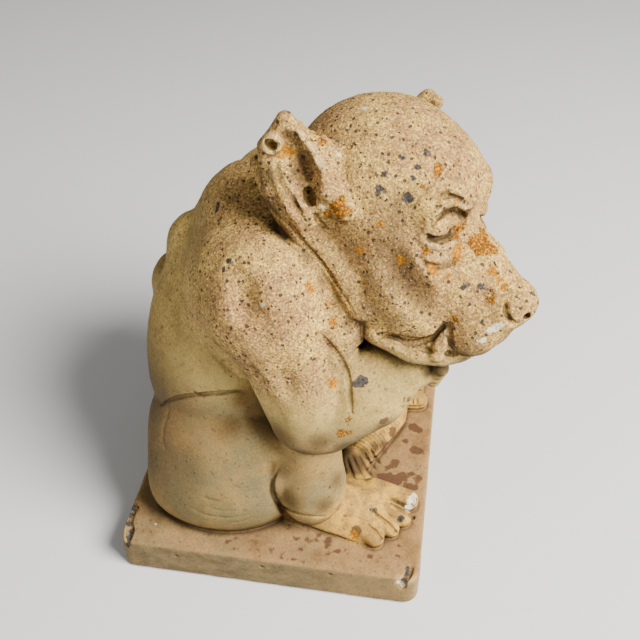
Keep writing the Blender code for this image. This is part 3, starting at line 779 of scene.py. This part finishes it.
MARKS = {
    "dark": [(402, 157, 3), (427, 153, 4), (418, 167, 2.5), (412, 178, 3), (408, 198, 5), (378, 188, 3),
        (378, 194, 3), (403, 223, 1.5), (481, 286, 3), (487, 289, 1.5), (482, 322, 2), (362, 381, 6),
        (356, 383, 4), (312, 359, 2.5), (533, 294, 3), (218, 205, 2.5), (217, 210, 2.5), (229, 261, 3),
        (224, 269, 2), (246, 229, 2), (250, 216, 1.5), (258, 231, 1.5), (237, 260, 1.5),
        (262, 263, 1.5), (385, 174, 3), (385, 190, 2), (400, 189, 2), (391, 205, 2), (462, 287, 3),
        (469, 285, 2), (401, 519, 3.5), (372, 510, 2.5), (331, 465, 1.2), (330, 487, 1.4),
        (133, 508, 3), (131, 516, 3), (129, 524, 3), (132, 531, 3), (129, 538, 3), (127, 545, 2),
        (407, 573, 3), (405, 580, 2.5), (408, 568, 2), (416, 500, 2), (338, 141, 1.5), (347, 130, 1.8),
        (337, 117, 1.8), (343, 145, 1.4), (352, 108, 1.4), (365, 124, 1.4)],
    "pale": [(497, 327, 5), (490, 330, 4), (502, 324, 3), (483, 340, 4), (479, 341, 3), (369, 376, 2),
        (411, 501, 5), (408, 507, 4), (415, 495, 3), (403, 584, 3), (399, 582, 2), (365, 108, 4),
        (322, 207, 3), (155, 524, 2), (128, 517, 1.5), (336, 152, 1.5), (339, 155, 1.5), (262, 305, 3),
        (405, 203, 2)],
    "brown": [(384, 421, 5), (413, 427, 5), (418, 430, 4), (415, 450, 5), (420, 452, 4), (393, 432, 5),
        (385, 447, 6), (388, 478, 6), (396, 480, 6), (402, 476, 5), (381, 476, 4), (408, 487, 5),
        (414, 487, 4), (418, 478, 4), (395, 462, 4), (389, 466, 4), (411, 474, 3), (405, 441, 3),
        (328, 541, 4), (308, 540, 3), (296, 538, 3), (289, 527, 3), (236, 539, 2.5), (226, 542, 2),
        (256, 541, 2), (272, 552, 2), (301, 549, 2.5), (328, 553, 2.5), (327, 547, 2), (338, 551, 2.5),
        (316, 540, 2), (282, 553, 2), (233, 549, 2), (210, 535, 2), (303, 561, 2), (319, 535, 2),
        (375, 510, 2.5), (356, 531, 5), (345, 515, 1.6), (352, 504, 1.2), (362, 490, 1.2),
        (338, 509, 1.2), (365, 521, 1.4), (330, 503, 1.2), (259, 549, 1.6), (265, 545, 1.5),
        (281, 558, 1.5), (293, 559, 1.5), (276, 548, 1.5), (345, 551, 1.5), (370, 556, 3),
        (400, 545, 2), (398, 556, 2)],
}
CLOUDED = {
    # Ochre stain on the haunch under the arm, deepened with painted shade there.
    "ochre": [(262, 412, 26), (245, 398, 18), (280, 436, 18), (232, 425, 14), (300, 452, 10)],
    "mossy": [(215, 515, 26), (185, 500, 22), (245, 520, 20), (190, 470, 14), (160, 455, 8)],
    # Painted shade in the cheek hollow, along the nape and ear, under the elbow and round the shin.
    "shaded": [(396, 262, 7), (402, 274, 10), (409, 287, 11), (419, 299, 9), (428, 306, 4),
        (262, 180, 12), (272, 205, 9), (320, 443, 10), (342, 447, 8), (285, 470, 10), (290, 500, 10),
        (325, 506, 8), (337, 480, 6), (385, 425, 5), (306, 258, 5), (322, 282, 5), (335, 302, 5),
        (350, 322, 5), (362, 336, 5), (268, 178, 10), (285, 232, 8), (412, 292, 8), (298, 170, 3),
        (304, 160, 3), (295, 143, 4)],
    # Softer painted shade over the temple, cheek, jaw and neck and beside the ear.
    "dim": [(398, 222, 22), (388, 248, 24), (380, 280, 24), (350, 250, 24), (395, 320, 14),
        (400, 205, 14), (480, 338, 10), (462, 352, 10), (372, 305, 18), (330, 235, 16), (318, 250, 12),
        (345, 290, 12), (300, 175, 8), (305, 185, 8)],
    # Deep painted shade under the jaw and hand, in the inner eye corner and over the tail's tuft.
    "painted_deep_shade": [(436, 368, 12), (446, 368, 7), (428, 372, 7), (440, 376, 6), (355, 465, 12),
        (364, 454, 8), (374, 447, 6), (382, 444, 4), (463, 214, 4), (347, 452, 6)],
}


def spots_on_stone(tree, group):
    """Where lines of sight through a group's places meet the stone, with each radius in millimetres."""
    spots = []
    for column, row, radius in group:
        ray = Vector(camera_rays([(column, row)])[0])
        found, _, _, reach = tree.ray_cast(Vector(CAMERA_AT), ray)
        if found is not None:
            spots.append((np.array(found) * 1000.0, radius * reach * 1000.0 / FOCAL))
    return spots


def inside_spots(points, spots):
    """For each point, how many millimetres it lies inside the nearest spot, negative outside."""
    depth = np.full(len(points), -40.0)
    for middle, radius in spots:
        depth = np.maximum(depth, radius - np.linalg.norm(points - middle, axis=1))
    return depth


def openness(tree, points, normals, count=14, reach=0.12):
    """The share of the sky over each point that the casting itself leaves open."""
    turns = np.random.default_rng(5)
    open_share = np.zeros(len(points))
    spread = turns.normal(size=(count, 3))
    spread /= np.linalg.norm(spread, axis=1, keepdims=True)
    starts = points / 1000.0 + normals * 0.0012
    for lean in spread:
        rays = normals + 0.98 * lean
        rays /= np.linalg.norm(rays, axis=1, keepdims=True)
        pairs = zip(starts.tolist(), rays.tolist())
        open_share += [tree.ray_cast(start, ray, reach)[0] is None for start, ray in pairs]
    return open_share / count


def mark_surface(stone, clay):
    """Writes what the stone's material needs to know about each point of the skin."""
    mesh = stone.data
    points = np.empty(len(mesh.vertices) * 3, np.float32)
    mesh.vertices.foreach_get("co", points)
    points = points.reshape(-1, 3).astype(float) * 1000.0
    normals = np.empty(len(mesh.vertices) * 3, np.float32)
    mesh.vertex_normals.foreach_get("vector", normals)
    normals = normals.reshape(-1, 3).astype(float)
    faces = [tuple(face.vertices) for face in mesh.polygons]
    tree = BVHTree.FromPolygons([Vector(p) for p in points / 1000.0], faces)
    marks = {"bare": weathered(points) * (1.0 - 0.6 * ramp(points[:, 1], 25, 105))}
    # How hollow each point lies, which darkens the colour with painted shade and dirt.
    near = sum(np.clip(clay.sample(points + normals * d) / d, 0.0, 1.0) for d in (2.5, 5.0, 9.0)) / 3.0
    marks["hollow"] = 1.0 - near
    edge = sum(np.clip(-clay.sample(points - normals * d) / d, 0.0, 1.0) for d in (4.0, 8.0)) / 2.0
    marks["edge"] = 1.0 - edge
    # How open each point lies to the sky, used to darken the colour with painted shade where it is closed
    # off.
    marks["open"] = openness(tree, points, normals)
    upward = ramp(normals[:, 2], 0.3, 0.8)
    marks["plinth_top"] = ramp(points[:, 2], 53, 47) * upward
    marks["plinth_side"] = ramp(points[:, 2], 47, 42) * (1.0 - upward)
    # Darker towards the back, partly painted shade and partly dirt.
    low_back = ramp(points[:, 2], 60, 130) * ramp(points[:, 2], 320, 220)
    marks["back_dirt_and_shade"] = ramp(points[:, 1], 20, 130) * low_back
    marks["foot"] = ramp(points[:, 1], -35, -75) * ramp(points[:, 2], 112, 80)
    marks["haunch"] = ramp(points[:, 2], 250, 200) * (1.0 - marks["foot"])
    # Towards the front: shifts the plinth top's colour and pales its flanks with painted light.
    marks["fore"] = ramp(points[:, 1], 60, -130)
    # Faces that look downwards, which the colour darkens with painted shade.
    marks["under"] = ramp(-normals[:, 2], 0.1, 0.7) * ramp(points[:, 2], 60, 90)
    # Plinth faces that look forwards, which the colour lightens with painted light.
    marks["front"] = ramp(-normals[:, 1], 0.5, 0.9) * ramp(points[:, 2], 47, 42)
    for table, limit in ((LICHEN, 20.0), (MARKS, 20.0), (CLOUDED, 60.0)):
        for name, group in table.items():
            marks[name] = np.clip(inside_spots(points, spots_on_stone(tree, group)), -limit, limit)
    for name, values in marks.items():
        layer = mesh.attributes.new(name, "FLOAT", "POINT")
        layer.data.foreach_set("value", values.astype(np.float32))


def tone(red, green, blue):
    """A colour as seen on a screen, 0 to 255, turned into the renderer's linear light."""
    return tuple(((v / 255 + 0.055) / 1.055) ** 2.4 for v in (red, green, blue)) + (1.0,)


class Nodes:
    """Short ways to write a material's nodes."""

    def __init__(self, name):
        self.material = bpy.data.materials.new(name)
        self.material.use_nodes = True
        self.tree = self.material.node_tree
        self.shader = self.tree.nodes["Principled BSDF"]
        self.place = self.make("ShaderNodeTexCoord").outputs["Object"]

    def make(self, kind, **settings):
        node = self.tree.nodes.new(kind)
        for name, value in settings.items():
            setattr(node, name, value)
        return node

    def put(self, socket, value):
        if isinstance(value, bpy.types.NodeSocket):
            self.tree.links.new(value, socket)
        else:
            socket.default_value = value

    def attribute(self, name):
        return self.make("ShaderNodeAttribute", attribute_name=name).outputs["Fac"]

    def noise(self, scale, detail=3.0, roughness=0.55, distortion=0.0, squeeze=None):
        """Noise over the object's own metres, squeezed along each axis by the given factors."""
        node = self.make("ShaderNodeTexNoise")
        place = self.place
        if squeeze:
            mapping = self.make("ShaderNodeMapping")
            self.put(mapping.inputs["Vector"], self.place)
            mapping.inputs["Scale"].default_value = squeeze
            place = mapping.outputs["Vector"]
        self.put(node.inputs["Vector"], place)
        for name, value in (("Scale", scale), ("Detail", detail), ("Roughness", roughness),
                            ("Distortion", distortion)):
            node.inputs[name].default_value = value
        return node.outputs["Fac"]

    def cells(self, scale, output="Distance", randomness=1.0):
        node = self.make("ShaderNodeTexVoronoi")
        self.put(node.inputs["Vector"], self.place)
        node.inputs["Scale"].default_value = scale
        node.inputs["Randomness"].default_value = randomness
        return node.outputs[output]

    def parts(self, colour):
        node = self.make("ShaderNodeSeparateColor")
        self.put(node.inputs[0], colour)
        return node.outputs

    def math(self, operation, one, other=0.0):
        node = self.make("ShaderNodeMath", operation=operation)
        self.put(node.inputs[0], one)
        self.put(node.inputs[1], other)
        return node.outputs[0]

    def ramp(self, value, low, high, start=0.0, end=1.0):
        node = self.make("ShaderNodeMapRange", interpolation_type="SMOOTHSTEP")
        self.put(node.inputs["Value"], value)
        for name, number in (("From Min", low), ("From Max", high), ("To Min", start), ("To Max", end)):
            node.inputs[name].default_value = number
        return node.outputs[0]

    def mix(self, share, one, other, blend="MIX"):
        node = self.make("ShaderNodeMix", data_type="RGBA", blend_type=blend)
        self.put(node.inputs["Factor"], share)
        self.put(node.inputs[6], one)
        self.put(node.inputs[7], other)
        return node.outputs[2]

    def stain(self, colour, share, strength, shade):
        """The colour turned towards a shade, by a share of the given strength."""
        return self.mix(self.times(share, strength), colour, tone(*shade))

    def times(self, *values):
        product = values[0]
        for value in values[1:]:
            product = self.math("MULTIPLY", product, value)
        return product

    def plus(self, *values):
        total = values[0]
        for value in values[1:]:
            total = self.math("ADD", total, value)
        return total


def skin_textures(n):
    """What the layers of the stone share: marks of its points, and textures at so many cells a metre."""
    return SimpleNamespace(
        bare=n.attribute("bare"), sky=n.attribute("open"), fore=n.attribute("fore"),
        fine=n.noise(900.0, 2.0, 0.6), grit=n.noise(420.0, 3.0, 0.65), blotch=n.noise(60.0, 4.0, 0.6),
        broad=n.noise(16.0, 4.0, 0.6, 0.4), grains=n.cells(330.0), picked=n.parts(n.cells(330.0, "Color")),
        sand=n.parts(n.cells(620.0, "Color")), crust=n.cells(420.0))


def body_colour(n, skin):
    """Smooth cream arms, olive haunches and warm feet, under the bared grain of head and shoulders."""
    cream = n.mix(n.ramp(skin.broad, 0.35, 0.65), tone(182, 158, 90), tone(200, 172, 98))
    olive = n.mix(n.ramp(skin.broad, 0.35, 0.65), tone(128, 115, 76), tone(166, 134, 76))
    warm = n.mix(n.ramp(skin.blotch, 0.4, 0.6), tone(218, 170, 72), tone(176, 136, 70))
    smooth = n.mix(n.attribute("haunch"), cream, olive)
    smooth = n.mix(n.attribute("foot"), smooth, warm)
    smooth = n.mix(n.ramp(skin.blotch, 0.45, 0.75, 0.0, 0.4), smooth, tone(138, 108, 56))
    worn = n.mix(n.ramp(skin.broad, 0.38, 0.62), tone(186, 146, 84), tone(216, 178, 92))
    worn = n.mix(n.ramp(skin.blotch, 0.42, 0.7, 0.0, 0.6), worn, tone(150, 108, 60))
    return n.mix(skin.bare, smooth, worn)


def plinth_colour(n, skin, colour):
    """The plinth's stained top, its streaked sides darkened partly by painted shade and paled towards the
    front by painted light, and its front lightened with painted light.
    """
    share = n.ramp(n.plus(skin.broad, n.times(skin.fore, 0.25)), 0.45, 0.75)
    slab = n.mix(share, tone(142, 118, 76), tone(166, 128, 82))
    slab = n.mix(n.ramp(n.noise(24.0, 4.0, 0.65), 0.44, 0.66, 0.0, 0.75), slab, tone(118, 86, 52))
    colour = n.mix(n.times(n.attribute("plinth_top"), 0.9), colour, slab)
    streaks = n.noise(40.0, 5.0, 0.7, 0.0, (1.0, 1.0, 1.8))
    # Flanks darker than the top, partly from streaked weathering and partly painted shade.
    flank = n.mix(n.ramp(streaks, 0.38, 0.62), tone(98, 84, 56), tone(128, 110, 74))
    # Painted light: the flanks paler towards the front.
    flank = n.mix(n.ramp(skin.fore, 0.5, 1.0, 0.0, 0.5), flank, tone(150, 124, 82))
    colour = n.mix(n.times(n.attribute("plinth_side"), 0.9), colour, flank)
    # Painted light on the plinth's forward faces.
    return n.stain(colour, n.attribute("front"), 0.6, (176, 150, 104))


def clouded_colour(n, skin, colour):
    """Broad patches: the back darkened by dirt and painted shade, ochre stain deepened with painted shade
    under the arm, mossy patches, and painted shade beside the folds and over the temple, cheek and neck.
    """
    # Darker towards the back, partly painted shade and partly dirt.
    colour = n.stain(colour, n.attribute("back_dirt_and_shade"), 0.7, (86, 68, 44))
    # Ochre stain on the haunch under the arm, deepened with painted shade there.
    ochre = n.ramp(n.plus(n.attribute("ochre"), n.times(n.ramp(skin.broad, 0.3, 0.7), 10.0)), -6.0, 16.0)
    colour = n.stain(colour, ochre, 0.75, (92, 62, 16))
    mossy = n.ramp(n.plus(n.attribute("mossy"), n.times(n.ramp(skin.blotch, 0.3, 0.7), 8.0)), -8.0, 16.0)
    colour = n.stain(colour, mossy, 0.5, (104, 94, 58))
    # Softer painted shade over the temple, cheek, jaw and neck and beside the ear.
    colour = n.stain(colour, n.ramp(n.attribute("dim"), -14.0, 18.0), 0.75, (122, 98, 52))
    # Painted shade in the cheek hollow, along the nape and ear, under the elbow and round the shin.
    return n.stain(colour, n.ramp(n.attribute("shaded"), -12.0, 8.0), 0.85, (84, 66, 34))


def grained_colour(n, skin, colour):
    """Speckle, dark grains, holes and pits, all fainter where the skin is smooth."""
    speckle = n.times(n.ramp(skin.grit, 0.3, 0.7, 0.66, 1.25), n.ramp(skin.fine, 0.3, 0.7, 0.76, 1.2),
                      n.ramp(skin.sand[0], 0.0, 1.0, 0.56, 1.3))
    depth = n.ramp(skin.bare, 0.0, 1.0, 0.28, 1.0)
    speckle = n.math("ADD", 1.0, n.times(n.math("SUBTRACT", speckle, 1.0), depth))
    colour = n.mix(1.0, colour, speckle, "MULTIPLY")
    colour = n.mix(n.times(n.ramp(skin.sand[1], 0.6, 0.7), depth, 0.4), colour, tone(150, 104, 78))
    colour = n.mix(n.times(n.ramp(skin.sand[2], 0.88, 0.9), depth, 0.6), colour, tone(88, 74, 56))
    coarse = n.parts(n.cells(150.0, "Color"))
    middle = n.ramp(n.plus(n.cells(150.0), n.times(skin.grit, 0.3)), 0.42, 0.34)
    skin.holes = n.times(middle, n.ramp(coarse[0], 0.5, 0.52), depth)
    colour = n.stain(colour, skin.holes, 0.9, (60, 48, 38))
    middle = n.ramp(skin.grains, 0.4, 0.2)
    skin.pit = n.times(middle, n.ramp(skin.picked[0], 0.84, 0.88), n.ramp(skin.bare, 0.0, 1.0, 0.12, 1.0))
    colour = n.stain(colour, skin.pit, 0.9, (58, 42, 28))
    bright = n.times(middle, n.ramp(skin.picked[1], 0.8, 0.84), n.ramp(skin.bare, 0.0, 1.0, 0.15, 1.0))
    return n.stain(colour, bright, 0.35, (248, 220, 160))


def shaded_colour(n, skin, colour):
    """Painted shade and dirt in the hollows, painted shade where the sky is closed off and under the
    overhangs, the paler worn edges, and deep painted shade in the darkest nooks.
    """
    # Painted shade and dirt in the hollows.
    uneven = n.times(n.math("SUBTRACT", skin.blotch, 0.5), 0.2)
    colour = n.stain(colour, n.ramp(n.plus(n.attribute("hollow"), uneven), 0.3, 0.85), 0.85, (56, 40, 22))
    # Painted shade where the casting closes off the sky.
    colour = n.stain(colour, n.ramp(skin.sky, 0.86, 0.2), 0.75, (80, 60, 32))
    worn_edge = n.times(n.ramp(n.attribute("edge"), 0.35, 0.75), n.ramp(skin.sky, 0.5, 0.9))
    colour = n.stain(colour, worn_edge, 0.22, (234, 210, 152))
    # Painted shade on faces that look downwards.
    colour = n.stain(colour, n.attribute("under"), 0.9, (54, 42, 22))
    # Deep painted shade under the jaw and hand, in the inner eye corner and over the tail's tuft.
    return n.stain(colour, n.ramp(n.attribute("painted_deep_shade"), -5.0, 5.0), 0.86, (58, 44, 28))


def marked_colour(n, skin, colour):
    """Brown, dark and pale marks, then the orange and yellow lichens, all with ragged outlines."""
    ragged = n.times(n.math("SUBTRACT", n.noise(260.0, 4.0, 0.7), 0.5), 9.0)
    eaten = n.times(n.math("SUBTRACT", n.noise(420.0, 3.0, 0.7), 0.5), 8.0)
    brown = n.ramp(n.plus(n.attribute("brown"), n.times(ragged, 0.6)), -1.6, 0.4)
    colour = n.stain(colour, brown, 0.85, (84, 54, 36))
    skin.dark = n.ramp(n.plus(n.attribute("dark"), ragged), -0.8, 0.3)
    soot = n.mix(n.ramp(skin.grit, 0.4, 0.6), tone(48, 44, 42), tone(78, 74, 70))
    colour = n.mix(n.times(skin.dark, 0.97), colour, soot)
    skin.pale = n.ramp(n.plus(n.attribute("pale"), ragged), -0.4, 0.9)
    colour = n.stain(colour, skin.pale, 0.85, (232, 222, 190))
    skin.orange = n.ramp(n.plus(n.attribute("orange"), ragged, eaten), -0.2, 0.8)
    rust = n.mix(n.ramp(n.noise(300.0, 3.0, 0.7), 0.4, 0.62), tone(198, 134, 0), tone(170, 98, 0))
    rust = n.mix(n.times(n.ramp(skin.crust, 0.3, 0.62), 0.85), rust, tone(84, 48, 6))
    colour = n.mix(n.times(skin.orange, 0.97), colour, rust)
    yellow = n.ramp(n.plus(n.attribute("yellow"), ragged, eaten), -1.4, -0.2)
    gold = n.mix(n.ramp(skin.crust, 0.2, 0.6), tone(206, 140, 0), tone(150, 92, 0))
    return n.mix(n.times(yellow, 0.97), colour, gold)


def skin_relief(n, skin):
    """Relief finer than the mesh: grit, pits, holes and the crust of the growths."""
    height = n.plus(n.times(skin.grit, n.ramp(skin.bare, 0.0, 1.0, 0.25, 0.9)),
                    n.times(skin.fine, n.ramp(skin.bare, 0.0, 1.0, 0.15, 0.5)),
                    n.times(skin.pit, -1.1), n.times(skin.holes, -1.6),
                    n.times(skin.orange, n.math("SUBTRACT", 0.9, skin.crust)),
                    n.times(skin.dark, 0.25), n.times(skin.pale, 0.2))
    bump = n.make("ShaderNodeBump")
    bump.inputs["Strength"].default_value = 0.9
    bump.inputs["Distance"].default_value = 0.001
    n.put(bump.inputs["Height"], height)
    return bump.outputs["Normal"]


def stone_material():
    n = Nodes("weathered_cast_stone")
    skin = skin_textures(n)
    colour = body_colour(n, skin)
    for layer in (plinth_colour, clouded_colour, grained_colour, shaded_colour, marked_colour):
        colour = layer(n, skin, colour)
    n.put(n.shader.inputs["Base Color"], colour)
    n.put(n.shader.inputs["Normal"], skin_relief(n, skin))
    n.shader.inputs["Roughness"].default_value = 0.9
    n.shader.inputs["Specular IOR Level"].default_value = 0.25
    return n.material


def plain_material(name, colour):
    n = Nodes(name)
    darker = tuple(0.97 * v for v in colour[:3]) + (1.0,)
    n.put(n.shader.inputs["Base Color"], n.mix(n.noise(3.0), colour, darker))
    n.shader.inputs["Roughness"].default_value = 0.95
    return n.material


def make_camera():
    camera = bpy.data.objects.new("camera", bpy.data.cameras.new("camera"))
    up = np.cross(CAMERA_RIGHT, CAMERA_AHEAD)
    turn = Matrix([CAMERA_RIGHT, up, -CAMERA_AHEAD]).transposed()
    camera.matrix_world = Matrix.Translation(Vector(CAMERA_AT)) @ turn.to_4x4()
    camera.data.sensor_width = SENSOR
    camera.data.lens = SENSOR * FOCAL / IMAGE
    bpy.context.scene.collection.objects.link(camera)
    bpy.context.scene.camera = camera


def make_light(name, place, size, power, colour=(1.0, 1.0, 1.0)):
    light = bpy.data.lights.new(name, "AREA")
    light.shape = "DISK"
    light.size = size
    light.energy = power
    light.color = colour
    lamp = bpy.data.objects.new(name, light)
    lamp.location = place
    lamp.rotation_mode = "QUATERNION"
    lamp.rotation_quaternion = (Vector(AIM) - Vector(place)).to_track_quat("-Z", "Y")
    bpy.context.scene.collection.objects.link(lamp)


def make_studio():
    mesh = bpy.data.meshes.new("floor")
    corners = [(FLOOR_HALF * x, FLOOR_HALF * y, FLOOR_LEVEL)
               for x, y in ((-1, -1), (1, -1), (1, 1), (-1, 1))]
    mesh.from_pydata(corners, [], [(0, 1, 2, 3)])
    floor = bpy.data.objects.new("floor", mesh)
    bpy.context.scene.collection.objects.link(floor)
    mesh.materials.append(plain_material("pale_floor", (0.78, 0.78, 0.77, 1.0)))
    world = bpy.data.worlds.new("studio")
    world.use_nodes = True
    sky = world.node_tree.nodes["Background"].inputs
    sky["Color"].default_value = (1.0, 1.0, 1.0, 1.0)
    sky["Strength"].default_value = 0.2
    bpy.context.scene.world = world
    make_light("back_fill", (-1.3, 2.0, 1.7), 1.8, 12.0)
    make_light("key", (-0.8, -1.75, 2.05), 1.5, 215.0, (1.0, 0.98, 0.95))


clay = sculpt_all(STEP)
stone = make_form(clay)
mark_surface(stone, clay)
stone.data.materials.clear()
stone.data.materials.append(stone_material())
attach(stone, "root")
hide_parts("gargoyle")
make_studio()
make_camera()
